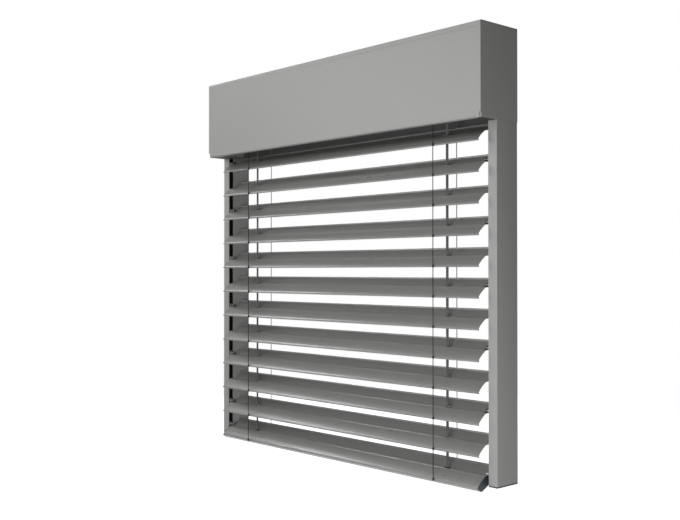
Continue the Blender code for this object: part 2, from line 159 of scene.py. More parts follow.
class Surface:
    """A procedural material: one Principled shader and the nodes that drive it."""

    def __init__(self, name, **constants):
        self.material = bpy.data.materials.new(name)
        self.material.use_nodes = True
        self.tree = self.material.node_tree
        self.shader = self.tree.nodes["Principled BSDF"]
        for socket, value in constants.items():
            self.shader.inputs[socket.replace("_", " ").title().replace("Ior", "IOR")].default_value = value
        self.place = self.node("ShaderNodeTexCoord").outputs["Object"]

    def node(self, kind, **settings):
        made = self.tree.nodes.new(kind)
        for name, value in settings.items():
            setattr(made, name, value)
        return made

    def wire(self, source, target):
        if hasattr(source, "links"):
            self.tree.links.new(source, target)
        else:
            target.default_value = source

    def scaled(self, scale):
        """The object's coordinates times a scale for each axis, in cells per metre."""
        mapping = self.node("ShaderNodeMapping")
        self.wire(self.place, mapping.inputs["Vector"])
        mapping.inputs["Scale"].default_value = scale
        return mapping.outputs["Vector"]

    def noise(self, scale, detail=2.0, roughness=0.5):
        """Noise from 0 to 1 in cells per metre, one number for all axes or one for each."""
        texture = self.node("ShaderNodeTexNoise")
        if isinstance(scale, tuple):
            self.wire(self.scaled(scale), texture.inputs["Vector"])
            texture.inputs["Scale"].default_value = 1.0
        else:
            self.wire(self.place, texture.inputs["Vector"])
            texture.inputs["Scale"].default_value = scale
        texture.inputs["Detail"].default_value = detail
        texture.inputs["Roughness"].default_value = roughness
        return texture.outputs["Fac"]

    def cells(self, scale):
        texture = self.node("ShaderNodeTexVoronoi")
        self.wire(self.place, texture.inputs["Vector"])
        texture.inputs["Scale"].default_value = scale
        spread = self.node("ShaderNodeSeparateColor")
        self.wire(texture.outputs["Color"], spread.inputs["Color"])
        return spread.outputs["Red"]

    def waves(self, direction, period):
        """Threads that follow each other along a direction, as a smooth 0 to 1 wave."""
        dot = self.node("ShaderNodeVectorMath", operation="DOT_PRODUCT")
        self.wire(self.place, dot.inputs[0])
        dot.inputs[1].default_value = Vector(direction) * (math.tau / period)
        sine = self.math("SINE", dot.outputs["Value"], 0.0)
        return self.spread(sine, -1.0, 1.0, 0.0, 1.0)

    def math(self, operation, a, b):
        made = self.node("ShaderNodeMath", operation=operation)
        self.wire(a, made.inputs[0])
        self.wire(b, made.inputs[1])
        return made.outputs["Value"]

    def spread(self, value, low, high, to_low, to_high):
        made = self.node("ShaderNodeMapRange")
        self.wire(value, made.inputs["Value"])
        numbers = {"From Min": low, "From Max": high, "To Min": to_low, "To Max": to_high}
        for name, number in numbers.items():
            made.inputs[name].default_value = number
        return made.outputs["Result"]

    def blend(self, share, one, two):
        """Colour one where share is 0 and two where it is 1."""
        made = self.node("ShaderNodeMix", data_type="RGBA")
        colours = [socket for socket in made.inputs if socket.type == "RGBA"]
        self.wire(share, made.inputs["Factor"])
        for socket, colour in zip(colours, (one, two)):
            self.wire(colour if hasattr(colour, "links") else (*colour, 1.0), socket)
        return next(socket for socket in made.outputs if socket.type == "RGBA")

    def edges(self, radius, noise_scale):
        """Where an edge is worn, from 0 to 1, broken up by noise."""
        rounded = self.node("ShaderNodeBevel", samples=4)
        rounded.inputs["Radius"].default_value = radius
        true = self.node("ShaderNodeNewGeometry").outputs["Normal"]
        dot = self.node("ShaderNodeVectorMath", operation="DOT_PRODUCT")
        self.wire(rounded.outputs["Normal"], dot.inputs[0])
        self.wire(true, dot.inputs[1])
        bare = self.spread(dot.outputs["Value"], 0.99, 0.75, 0.0, 1.0)
        broken = self.spread(self.noise(noise_scale, 3.0), 0.42, 0.62, 0.15, 1.0)
        return self.math("MULTIPLY", bare, broken)

    def facing_up(self, low, high):
        split = self.node("ShaderNodeSeparateXYZ")
        self.wire(self.node("ShaderNodeNewGeometry").outputs["Normal"], split.inputs["Vector"])
        return self.spread(split.outputs["Z"], low, high, 0.0, 1.0)

    def bump(self, height, distance, strength=1.0):
        made = self.node("ShaderNodeBump")
        made.inputs["Distance"].default_value = distance
        made.inputs["Strength"].default_value = strength
        self.wire(height, made.inputs["Height"])
        previous = self.shader.inputs["Normal"]
        if previous.links:
            self.wire(previous.links[0].from_socket, made.inputs["Normal"])
        self.wire(made.outputs["Normal"], previous)

    def finish(self, colour, roughness):
        self.wire(colour, self.shader.inputs["Base Color"])
        self.wire(roughness, self.shader.inputs["Roughness"])
        return self.material


def shade(colour, factor):
    return tuple(min(channel * factor, 1.0) for channel in colour)


def powder_coat(name, grey, sheen):
    """Fine-structure powder coat: cured grains, slow tone drift, rubbed edges."""
    s = Surface(name, metallic=0.0, specular_ior_level=0.45, sheen_weight=sheen)
    drift = s.spread(s.noise(2.2, 3.0), 0.3, 0.7, 0.0, 1.0)
    grain = s.noise(1400.0, 2.0)
    tone = s.blend(drift, shade(grey, 0.965), shade(grey, 1.03))
    speck = s.blend(s.spread(grain, 0.35, 0.65, 0.0, 1.0), shade(grey, 0.93), shade(grey, 1.07))
    colour = s.blend(0.35, tone, speck)
    worn = s.edges(0.9 * MM, 60.0)
    colour = s.blend(s.math("MULTIPLY", worn, 0.35), colour, shade(grey, 1.45))
    s.bump(grain, 0.05 * MM, 0.55)
    s.bump(s.noise(22.0, 2.0), 0.12 * MM, 0.2)
    return s.finish(colour, s.spread(s.noise(90.0, 3.0), 0.3, 0.7, 0.40, 0.54))


def enamel(name, grey, metal=0.0):
    """Stove-enamelled strip: roll-forming lines along the slat, settled dust, a satin gloss."""
    s = Surface(name, metallic=metal, specular_ior_level=0.6, coat_weight=0.4, coat_roughness=0.14)
    drift = s.spread(s.noise((1.6, 30.0, 30.0), 3.0), 0.3, 0.7, 0.0, 1.0)
    colour = s.blend(drift, shade(grey, 0.96), shade(grey, 1.035))
    lines = s.noise((1.2, 900.0, 900.0), 2.0)
    colour = s.blend(s.spread(lines, 0.35, 0.65, 0.0, 0.22), colour, shade(grey, 1.12))
    dusty = s.math("MULTIPLY", s.facing_up(0.3, 0.95), s.spread(s.noise(45.0, 4.0), 0.45, 0.7, 0.0, 0.16))
    colour = s.blend(dusty, colour, (0.42, 0.40, 0.37))
    worn = s.edges(0.5 * MM, 110.0)
    colour = s.blend(s.math("MULTIPLY", worn, 0.4), colour, shade(grey, 1.5))
    s.bump(lines, 0.03 * MM, 0.35)
    s.bump(s.noise(2600.0, 1.0), 0.012 * MM, 0.4)
    rough = s.math("ADD", s.spread(s.noise((3.0, 120.0, 120.0), 2.0), 0.3, 0.7, 0.27, 0.37), dusty)
    return s.finish(colour, rough)


def moulded(name, colour, rough, wear):
    """Spark-eroded moulded plastic: fine grain, faint flow marks, lighter rubbed edges."""
    s = Surface(name, metallic=0.0, specular_ior_level=0.42)
    flow = s.spread(s.noise((40.0, 40.0, 12.0), 3.0), 0.3, 0.7, 0.0, 1.0)
    tone = s.blend(flow, shade(colour, 0.9), shade(colour, 1.1))
    worn = s.edges(0.4 * MM, 180.0)
    tone = s.blend(s.math("MULTIPLY", worn, 0.45), tone, shade(colour, wear))
    s.bump(s.noise(2400.0, 2.0), 0.03 * MM, 0.5)
    return s.finish(tone, s.spread(s.noise(300.0, 3.0), 0.3, 0.7, rough - 0.06, rough + 0.08))


def galvanised(name, grey):
    """Zinc-plated steel: spangle, drawing lines along the length, dull handling marks."""
    s = Surface(name, metallic=0.9, specular_ior_level=0.5, anisotropic=0.35)
    spangle = s.cells(85.0)
    tone = s.blend(s.spread(spangle, 0.0, 1.0, 0.0, 1.0), shade(grey, 0.82), shade(grey, 1.12))
    drawn = s.noise((4.0, 700.0, 700.0), 2.0)
    tone = s.blend(s.spread(drawn, 0.35, 0.65, 0.0, 0.25), tone, shade(grey, 1.25))
    marks = s.spread(s.noise(14.0, 4.0), 0.5, 0.75, 0.0, 0.35)
    tone = s.blend(marks, tone, shade(grey, 0.6))
    s.bump(drawn, 0.02 * MM, 0.5)
    rough = s.math("ADD", s.spread(spangle, 0.0, 1.0, 0.28, 0.42), s.math("MULTIPLY", marks, 0.3))
    return s.finish(tone, rough)


def woven(name, colour):
    """Ribbed woven tape: lengthwise warp threads crossed by a finer weft."""
    s = Surface(name, metallic=0.0, sheen_weight=0.35, sheen_roughness=0.5, specular_ior_level=0.2)
    warp = s.waves((1, 0, 0), 0.62 * MM)
    weft = s.waves((0, 0, 1), 0.5 * MM)
    weave = s.math("MULTIPLY", warp, s.spread(weft, 0.0, 1.0, 0.55, 1.0))
    tone = s.blend(weave, shade(colour, 0.55), shade(colour, 1.25))
    tone = s.blend(s.spread(s.noise(120.0, 3.0), 0.35, 0.65, 0.0, 0.5), tone, shade(colour, 1.5))
    s.bump(weave, 0.12 * MM, 0.9)
    return s.finish(tone, s.spread(weave, 0.0, 1.0, 0.92, 0.72))


def braided(name, colour):
    """Braided cord: two sets of strands that cross round it, with a little fuzz."""
    s = Surface(name, metallic=0.0, sheen_weight=0.3, sheen_roughness=0.5, specular_ior_level=0.2)
    one = s.waves((1, 0.6, 1.1), 1.0 * MM)
    two = s.waves((1, 0.6, -1.1), 1.0 * MM)
    strands = s.math("MAXIMUM", one, two)
    tone = s.blend(strands, shade(colour, 0.45), shade(colour, 1.2))
    tone = s.blend(s.spread(s.noise(260.0, 3.0), 0.35, 0.65, 0.0, 0.4), tone, shade(colour, 1.5))
    s.bump(strands, 0.16 * MM, 0.9)
    return s.finish(tone, s.spread(strands, 0.0, 1.0, 0.95, 0.75))


def lacquered(name, colour):
    """Black motor lacquer over a drawn tube: slight orange peel and rubbed corners."""
    s = Surface(name, metallic=0.1, specular_ior_level=0.5, coat_weight=0.3, coat_roughness=0.3)
    drift = s.spread(s.noise(25.0, 3.0), 0.3, 0.7, 0.0, 1.0)
    tone = s.blend(drift, shade(colour, 0.8), shade(colour, 1.3))
    worn = s.edges(0.7 * MM, 120.0)
    tone = s.blend(s.math("MULTIPLY", worn, 0.5), tone, (0.3, 0.3, 0.3))
    s.bump(s.noise(420.0, 2.0), 0.05 * MM, 0.5)
    return s.finish(tone, s.spread(s.noise(160.0, 3.0), 0.3, 0.7, 0.34, 0.5))


GREY = (0.50, 0.50, 0.488)
SLAT_GREY = (0.272, 0.272, 0.265)
# Lighter grey for the slats' rear beads: a painted highlight
EDGE_HIGHLIGHT_GREY = (0.40, 0.40, 0.392)
# Darker grey for the hood's back panel: painted shade under the hood
BACK_PANEL_SHADE_GREY = (0.17, 0.17, 0.167)
MATERIALS = {
    "powder_grey": powder_coat("powder_grey", GREY, 0.03),
    "slat_grey": enamel("slat_grey", SLAT_GREY),
    "cap_plastic": moulded("cap_plastic", (0.062, 0.078, 0.096), 0.48, 1.9),
    "black_plastic": moulded("black_plastic", (0.012, 0.012, 0.012), 0.5, 3.0),
    "white_plastic": moulded("white_plastic", (0.62, 0.62, 0.58), 0.42, 1.2),
    "tape_fabric": woven("tape_fabric", (0.15, 0.15, 0.15)),
    "front_cord": braided("front_cord", (0.018, 0.018, 0.019)),
    "rear_cord": braided("rear_cord", (0.20, 0.20, 0.20)),
    "zinc_steel": galvanised("zinc_steel", (0.52, 0.53, 0.54)),
    "motor_black": lacquered("motor_black", (0.022, 0.022, 0.025)),
}
# Darker powder coat on the hood's back panel, as painted shade under the hood
SHADED_BACK_PANEL = powder_coat("back_panel_painted_shade", BACK_PANEL_SHADE_GREY, 0.0)
EYELET_GREY = moulded("eyelet_grey", (0.25, 0.25, 0.245), 0.5, 1.3)
HOLDER_GREY = galvanised("holder_grey", (0.17, 0.17, 0.168))
# Lighter, partly metallic enamel on the slats' rear beads, as a painted highlight
ROLLED_EDGE_HIGHLIGHT = enamel("slat_rolled_edge_painted_highlight", EDGE_HIGHLIGHT_GREY, 0.3)


# ---------------------------------------------------------------- mesh helpers

# Edges sharper than these, in degrees, are shaded as creases or given a bevel
SHARP_ANGLE = 38.0
BEVEL_ANGLE = 35.0


def add_piece(name, bm, slot, body, material=None, sharp=SHARP_ANGLE):
    """A new visible piece from a bmesh in the part's frame, riding on a CAD body."""
    bmesh.ops.remove_doubles(bm, verts=bm.verts, dist=1e-7)
    bmesh.ops.recalc_face_normals(bm, faces=bm.faces)
    mesh = bpy.data.meshes.new(name)
    bm.to_mesh(mesh)
    bm.free()
    mesh.materials.append(material or MATERIALS[slot])
    mesh.shade_smooth()
    mesh.set_sharp_from_angle(angle=math.radians(sharp))
    obj = bpy.data.objects.new(name, mesh)
    bpy.context.scene.collection.objects.link(obj)
    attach(obj, body)
    return obj


def soften(obj, width, segments=2):
    """Rounds an object's edges with a Bevel, after welding what an import left split."""
    weld = obj.modifiers.new("Weld", "WELD")
    weld.merge_threshold = 1e-6
    bevel = obj.modifiers.new("Bevel", "BEVEL")
    bevel.width = width
    bevel.segments = segments
    bevel.limit_method = "ANGLE"
    bevel.angle_limit = math.radians(BEVEL_ANGLE)
    bevel.use_clamp_overlap = True
    bevel.miter_outer = "MITER_ARC"


def rounded(points, radius, steps):
    """An outline with each corner turned into an arc, as far as its sides allow."""
    made = []
    count = len(points)
    for i in range(count):
        here = Vector(points[i])
        back = Vector(points[i - 1]) - here
        on = Vector(points[(i + 1) % count]) - here
        angle = back.angle(on)
        if math.pi - angle < 0.12:
            made.append(tuple(here))
            continue
        reach = min(radius / math.tan(angle / 2), 0.45 * back.length, 0.45 * on.length)
        first, last = here + back.normalized() * reach, here + on.normalized() * reach
        for k in range(steps + 1):
            t = k / steps
            made.append(tuple(first * (1 - t) ** 2 + here * 2 * t * (1 - t) + last * t**2))
    return made


def placer(axis, level):
    return {
        "X": lambda a, b: (level, a, b),
        "Y": lambda a, b: (a, level, b),
        "Z": lambda a, b: (a, b, level),
    }[axis]


def prism(bm, outline, levels, axis, holes=()):
    """Adds a prism through several levels, with holes that run all the way through."""
    loops = [list(outline), *[list(hole) for hole in holes]]
    rings = []
    for level in levels:
        place = placer(axis, level)
        rings.append([[bm.verts.new(place(a, b)) for a, b in loop] for loop in loops])
    for low, high in zip(rings, rings[1:]):
        for one, two in zip(low, high):
            for i in range(len(one)):
                j = (i + 1) % len(one)
                bm.faces.new((one[i], one[j], two[j], two[i]))
    for ring in (rings[0], rings[-1]):
        if not holes:
            bm.faces.new(ring[0])
            continue
        flat = [vert for loop in ring for vert in loop]
        triangles = tessellate_polygon([[Vector((a, b, 0)) for a, b in loop] for loop in loops])
        for triangle in triangles:
            bm.faces.new([flat[i] for i in triangle])


def turned(bm, profile, centre, count=28):
    """Adds a solid of revolution about an X axis, from its (x, radius) profile, closed at its ends."""
    rings = []
    for x, radius in profile:
        ring = []
        for i in range(count):
            a = math.tau * i / count
            y, z = centre[0] + radius * math.cos(a), centre[1] + radius * math.sin(a)
            ring.append(bm.verts.new((x, y, z)))
        rings.append(ring)
    for one, two in zip(rings, rings[1:]):
        for i in range(count):
            j = (i + 1) % count
            bm.faces.new((one[i], one[j], two[j], two[i]))
    bm.faces.new(rings[0])
    bm.faces.new(rings[-1])


def sheet(bm, line, thickness, across, axis="X"):
    """Adds a bent sheet: a middle line in 2D, given a thickness, run between two levels of an axis."""
    upper, lower = sides_of(line, lambda i: thickness)
    prism(bm, upper + lower[::-1], across, axis)


def sides_of(line, thickness_at):
    """The two sides of a middle line, at half a thickness that depends on the point's index."""
    upper, lower = [], []
    for i, point in enumerate(line):
        before, after = Vector(line[max(i - 1, 0)]), Vector(line[min(i + 1, len(line) - 1)])
        run = (after - before).normalized()
        side = Vector((-run.y, run.x)) * (thickness_at(i) / 2)
        upper.append(tuple(Vector(point) + side))
        lower.append(tuple(Vector(point) - side))
    return upper, lower


def smooth_line(points, steps):
    """A Catmull-Rom curve through the points."""
    made = []
    for i in range(len(points) - 1):
        a, b, c, d = (Vector(points[k]) for k in (max(i - 1, 0), i, i + 1, min(i + 2, len(points) - 1)))
        for k in range(steps):
            t = k / steps
            bend, twist = 2 * a - 5 * b + 4 * c - d, 3 * b - a - 3 * c + d
            made.append(tuple(0.5 * (2 * b + (c - a) * t + bend * t**2 + twist * t**3)))
    made.append(tuple(points[-1]))
    return made


def bent(corners, radius, steps=5):
    """An open line of straight runs whose inner corners are arcs."""
    made = [tuple(corners[0])]
    for before, here, after in zip(corners, corners[1:], corners[2:]):
        here = Vector(here)
        back, on = Vector(before) - here, Vector(after) - here
        reach = min(radius / math.tan(back.angle(on) / 2), 0.9 * back.length, 0.9 * on.length)
        first, last = here + back.normalized() * reach, here + on.normalized() * reach
        for k in range(steps + 1):
            t = k / steps
            made.append(tuple(first * (1 - t) ** 2 + here * 2 * t * (1 - t) + last * t**2))
    made.append(tuple(corners[-1]))
    return made


def in_metres(points, origin=(0.0, 0.0)):
    return [(origin[0] + a * MM, origin[1] + b * MM) for a, b in points]


def rectangle(across, up):
    return [(across[0], up[0]), (across[1], up[0]), (across[1], up[1]), (across[0], up[1])]


def rectangle_about(centre, half):
    """A rectangle round a centre in metres, from its half sizes in mm."""
    return rectangle(*((middle - size * MM, middle + size * MM) for middle, size in zip(centre, half)))


def bake_modifiers(obj):
    """Bakes an object's modifiers into its mesh."""
    graph = bpy.context.evaluated_depsgraph_get()
    mesh = bpy.data.meshes.new_from_object(obj.evaluated_get(graph))
    obj.modifiers.clear()
    obj.data = mesh
    mesh.shade_smooth()
    mesh.set_sharp_from_angle(angle=math.radians(SHARP_ANGLE))


def carve(obj, bm):
    """Cuts a closed bmesh out of an object."""
    bmesh.ops.recalc_face_normals(bm, faces=bm.faces)
    mesh = bpy.data.meshes.new("cutter")
    bm.to_mesh(mesh)
    bm.free()
    cutter = bpy.data.objects.new("cutter", mesh)
    bpy.context.scene.collection.objects.link(cutter)
    modifier = obj.modifiers.new("Cut", "BOOLEAN")
    modifier.object = cutter
    bpy.context.view_layer.update()
    bake_modifiers(obj)
    bpy.data.objects.remove(cutter)


# ---------------------------------------------------------------- hood


def build_hood():
    half = CAD_BOX[1].x
    low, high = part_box("hood_front_cover")
    face, back = low.y, 0.0
    t = HOOD_SHEET * MM
    middle = face + t / 2
    fold_x = half - FOLD_STOP * MM
    slit_x, slit_z = fold_x + SLIT_WIDTH * MM, low.z + SLIT_HEIGHT * MM
    notch_x, notch_z = half - NOTCH_WIDTH * MM, low.z + NOTCH_HEIGHT * MM

    bm = bmesh.new()
    floor = low.z + t / 2
    line = bent([(middle, high.z), (middle, floor), (high.y, floor)], HOOD_BEND * MM)
    sheet(bm, line, t, (-fold_x, fold_x))
    for side in (-1, 1):
        outline = [
            (side * fold_x, high.z),
            (side * half, high.z),
            (side * half, notch_z),
            (side * notch_x, notch_z),
            (side * notch_x, low.z),
            (side * slit_x, low.z),
            (side * slit_x, slit_z),
            (side * fold_x, slit_z),
        ]
        prism(bm, outline, (face, face + t), "Y")
    cover = add_piece("front_cover_sheet", bm, "powder_grey", "base")
    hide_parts("hood_front_cover")
    soften(cover, SHEET_EDGE * MM)

    top_low, top_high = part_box("hood_top_panel")
    bm = bmesh.new()
    roof = top_high.z - t / 2
    line = bent([(middle, top_low.z), (middle, roof), (back, roof)], HOOD_BEND * MM)
    sheet(bm, line, t, (-half, half))
    top = add_piece("top_panel_sheet", bm, "powder_grey", "base")
    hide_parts("hood_top_panel")
    soften(top, SHEET_EDGE * MM)

    for side, name in ((-1, "left"), (1, "right")):
        cap_low, cap_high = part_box(f"hood_end_cap_{name}")
        bm = bmesh.new()
        flange = side * (half - CAP_FLANGE * MM)
        front, wall = cap_low.y + t / 2, side * (half - t / 2)
        corners = [(flange, front), (wall, front), (wall, back)]
        sheet(bm, bent(corners, HOOD_BEND * MM), t, (cap_low.z, cap_high.z), "Z")
        cap = add_piece(f"end_cap_sheet_{name}", bm, "powder_grey", "base")
        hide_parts(f"hood_end_cap_{name}")
        soften(cap, SHEET_EDGE * MM)


# ---------------------------------------------------------------- guide rails


def build_guide_rail(side, name):
    low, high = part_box(f"guide_rail_{name}")
    inner, outer = (high.x, low.x) if side < 0 else (low.x, high.x)
    liner_low, liner_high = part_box(f"channel_liner_{name}")
    gap = LINER_GAP * MM
    slot = (liner_low.y - gap, liner_high.y + gap)
    depth = inner + side * CHANNEL_DEPTH * MM
    wall = RAIL_WALL * MM
    outline = [
        (inner, low.y),
        (outer, low.y),
        (outer, high.y),
        (inner, high.y),
        (inner, slot[1]),
        (depth, slot[1]),
        (depth, slot[0]),
        (inner, slot[0]),
    ]
    chamber = [
        (inner + side * wall, slot[1] + wall),
        (outer - side * wall, slot[1] + wall),
        (outer - side * wall, high.y - wall),
        (inner + side * wall, high.y - wall),
    ]
    hole = rounded(chamber, CHAMBER_CORNER * MM, 3)
    bm = bmesh.new()
    prism(bm, rounded(outline, RAIL_CORNER * MM, 3), (low.z, high.z), "Z", [hole])
    rail = add_piece(f"rail_extrusion_{name}", bm, "powder_grey", "base", sharp=30.0)
    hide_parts(f"guide_rail_{name}")

    bm = bmesh.new()
    lip = inner + side * LINER_INSET * MM
    lip_end = lip + side * LINER_LIP_DEPTH * MM
    deep = depth - side * gap
    wall = LINER_WALL * MM
    sides = (liner_low.y, liner_high.y)
    tooth = LINER_LIP * MM
    outline = [
        (lip, sides[0]),
        (deep, sides[0]),
        (deep, sides[1]),
        (lip, sides[1]),
        (lip, sides[1] - wall - tooth),
        (lip_end, sides[1] - wall - tooth),
        (lip_end, sides[1] - wall),
        (deep - side * wall, sides[1] - wall),
        (deep - side * wall, sides[0] + wall),
        (lip_end, sides[0] + wall),
        (lip_end, sides[0] + wall + tooth),
        (lip, sides[0] + wall + tooth),
    ]
    prism(bm, rounded(outline, 0.25 * MM, 2), (liner_low.z, liner_high.z), "Z")
    liner = add_piece(f"channel_insert_{name}", bm, "black_plastic", "base")
    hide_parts(f"channel_liner_{name}")

    cap_low, cap_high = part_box(f"rail_foot_cap_{name}")
    bm = bmesh.new()
    outline = rectangle((cap_low.x, cap_high.x), (cap_low.y, cap_high.y))
    prism(bm, rounded(outline, 1.0 * MM, 3), (cap_low.z, cap_high.z), "Z")
    cap = add_piece(f"foot_cap_{name}", bm, "cap_plastic", "base")
    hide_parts(f"rail_foot_cap_{name}")
    soften(cap, 0.6 * MM, 2)


# ---------------------------------------------------------------- slats


def pivot_of(body_joint):
    """(y, z) of a hinge joint's axis."""
    return JOINTS[body_joint]["pos_m"][1:]


def slat_sides():
    """Upper and lower side of a slat with its two round beads, front to rear, in mm."""
    line = smooth_line(SLAT_LINE, LINE_STEPS)
    front = [(line[0][0], line[0][1] - k) for k, _ in reversed(BEAD)]
    rear = [(line[-1][0], line[-1][1] + k) for k, _ in BEAD]
    whole = front + line + rear
    rolled = [width for _, width in BEAD]
    thick = rolled[::-1] + [SLAT_SHEET] * len(line) + rolled
    upper, lower = sides_of(whole, lambda i: thick[i])
    return upper, lower, whole


def cap_arc(centre, start, steps=6):
    """Half a circle round a bead's tip, from one side's end to the other's."""
    first = Vector(start) - Vector(centre)
    turn = math.pi / steps
    made = []
    for k in range(1, steps):
        a = -k * turn
        x = first.x * math.cos(a) - first.y * math.sin(a)
        y = first.x * math.sin(a) + first.y * math.cos(a)
        made.append((centre[0] + x, centre[1] + y))
    return made


def slat_outline():
    upper, lower, whole = slat_sides()
    rear = cap_arc(whole[-1], upper[-1])
    front = cap_arc(whole[0], lower[0])
    return upper + rear + lower[::-1] + front


def paint_edge_highlight(slat, origin):
    """The rolled rear edge gets a lighter, partly metallic enamel than the flat of the slat: a painted highlight
    along the bead.
    """
    slat.data.materials.append(ROLLED_EDGE_HIGHLIGHT)
    for face in slat.data.polygons:
        if (face.center.z - origin[1]) / MM > SLAT_LINE[-1][1]:
            face.material_index = 1


def slot_cutter(centre_x, origin):
    """A rounded slot that runs down through a slat, for the lift tape."""
    bm = bmesh.new()
    half = (SLOT_LENGTH / 2, SLOT_WIDTH / 2)
    outline = rounded(rectangle_about((centre_x, origin[0]), half), 3.5 * MM, 5)
    prism(bm, outline, (origin[1] - 14 * MM, origin[1] + 6 * MM), "Z")
    return bm


def build_eyelet(name, x, origin, body):
    """The plastic eyelet that frames a tape slot, pressed over both faces of the sheet, as four bars."""
    curve = smooth_line(SLAT_LINE, LINE_STEPS)
    line = [point for point in curve if EYELET_FRONT <= point[0] <= EYELET_REAR]
    front = [point for point in line if point[0] <= EYELET_OPEN[0]]
    rear = [point for point in line if point[0] >= EYELET_OPEN[1]]
    edge, inner = EYELET_HALF * MM, (EYELET_HALF - EYELET_RIM) * MM
    bm = bmesh.new()
    bars = ((line, -edge, -inner), (line, inner, edge), (front, -inner, inner), (rear, -inner, inner))
    for run, low, high in bars:
        sheet(bm, in_metres(run, origin), EYELET_THICK * MM, (x + low, x + high))
    add_piece(name, bm, "cap_plastic", body, EYELET_GREY)


def pin_profile(tip, neck, end, pin_r, head_r):
    """(x, radius) of a guide pin: a tip with a chamfer, a shank and a crowned head."""
    s = 1 if end > neck else -1
    edge, crown = 0.7 * MM, 1.2 * MM
    return [
        (tip, pin_r - edge),
        (tip + s * edge, pin_r),
        (neck, pin_r),
        (neck, head_r - edge),
        (neck + s * edge, head_r),
        (end - s * crown, head_r),
        (end - s * 0.4 * MM, head_r - 0.5 * MM),
        (end, head_r - 1.8 * MM),
    ]


def build_pin(node, name, body):
    """A guide pin in place of its CAD node."""
    low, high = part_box(node)
    side = 1 if low.x > 0 else -1
    tip, end = (low.x, high.x) if side > 0 else (high.x, low.x)
    centre = ((low.y + high.y) / 2, (low.z + high.z) / 2)
    head_r = (high.z - low.z) / 2
    bm = bmesh.new()
    turned(bm, pin_profile(tip, end - side * PIN_HEAD * MM, end, PIN_RADIUS * MM, head_r), centre)
    pin = add_piece(name, bm, "zinc_steel", body)
    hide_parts(node)


def build_slats():
    outline = slat_outline()
    tape_boxes = (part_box("lift_tape_left"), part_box("lift_tape_right"))
    tapes = [(low.x + high.x) / 2 for low, high in tape_boxes]
    for i, number in enumerate(NUMBERS):
        origin = pivot_of(f"tilt_{number}")
        low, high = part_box(f"slat_{number}")
        bm = bmesh.new()
        prism(bm, in_metres(outline, origin), (low.x, high.x), "X")
        slat = add_piece(f"slat_sheet_{number}", bm, "slat_grey", f"blade_{number}")
        # In the photo the first slat's rear edge stays dark
        # The rear beads of the other slats get the lighter enamel as a painted highlight
        if i > 0:
            paint_edge_highlight(slat, origin)
        for side, x in zip(("left", "right"), tapes):
            carve(slat, slot_cutter(x, origin))
            build_eyelet(f"tape_eyelet_{side}_{number}", x, origin, f"blade_{number}")
        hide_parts(f"slat_{number}")
        build_pin(f"guide_shoe_{number}", f"guide_pin_{number}", f"carriage_{number}")
        side = -1 if i % 2 == 0 else 1
        end = side * (high.x - 0.4 * MM)
        build_pin_holder(f"pin_holder_{number}", end, side, origin, f"blade_{number}")
        build_clips(number, origin, f"blade_{number}")


def build_pin_holder(name, end, side, origin, body):
    """The riveted eye under a slat's end that carries its guide pin."""
    bm = bmesh.new()
    inner = end - side * EYE_LENGTH * MM
    bore, radius, edge = EYE_BORE * MM, EYE_RADIUS * MM, EYE_EDGE * MM
    profile = [
        (inner, bore),
        (inner, radius - edge),
        (inner + side * edge, radius),
        (end - side * edge, radius),
        (end, radius - edge),
        (end, bore),
    ]
    turned(bm, profile, origin, 24)
    plate = rounded(in_metres(EYE_PLATE, origin), 0.4 * MM, 2)
    prism(bm, plate, sorted((inner - side * 5 * MM, end - side * 0.3 * MM)), "X")
    add_piece(name, bm, "zinc_steel", body, HOLDER_GREY)


def build_clips(number, origin, body):
    """The clips that hold the front ladder cords at a slat's front bead, and the loops at its rear."""
    for side in ("left", "right"):
        low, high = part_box(f"ladder_front_{side}")
        x = (low.x + high.x) / 2
        y, z = (origin[k] + CLIP_PLACE[k] * MM for k in range(2))
        half = CLIP_HALF * MM
        outline = rectangle((x - half, x + half), [z + reach * MM for reach in CLIP_HEIGHT])
        bm = bmesh.new()
        prism(bm, rounded(outline, 1.4 * MM, 3), [y + reach * MM for reach in CLIP_DEPTH], "Y")
        clip = add_piece(f"cord_clip_{side}_{number}", bm, "black_plastic", body)
        soften(clip, 0.5 * MM, 2)
        low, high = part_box(f"ladder_rear_{side}")
        x = (low.x + high.x) / 2
        y, z = (origin[k] + LOOP_PLACE[k] * MM for k in range(2))
        ring(f"rear_loop_{side}_{number}", (x, y, z), body)


def ring(name, centre, body):
    """A turn of cord round the rear bead and the rear ladder cord."""
    bm = bmesh.new()
    around, strand = 22, 8
    radius, flat, wave, cord = 2.9 * MM, 0.55, 0.35 * MM, 0.55 * MM
    rings = []
    for i in range(around):
        a = math.tau * i / around
        middle = Vector((flat * radius * math.cos(a), radius * math.sin(a), wave * math.sin(2 * a)))
        out = Vector((math.cos(a), math.sin(a), 0))
        verts = []
        for k in range(strand):
            b = math.tau * k / strand
            rise = Vector((0, 0, cord * math.sin(b)))
            verts.append(bm.verts.new(Vector(centre) + middle + out * cord * math.cos(b) + rise))
        rings.append(verts)
    for i in range(around):
        one, two = rings[i], rings[(i + 1) % around]
        for k in range(strand):
            m = (k + 1) % strand
            bm.faces.new((one[k], one[m], two[m], two[k]))
    add_piece(name, bm, "rear_cord", body)


# ---------------------------------------------------------------- bottom rail


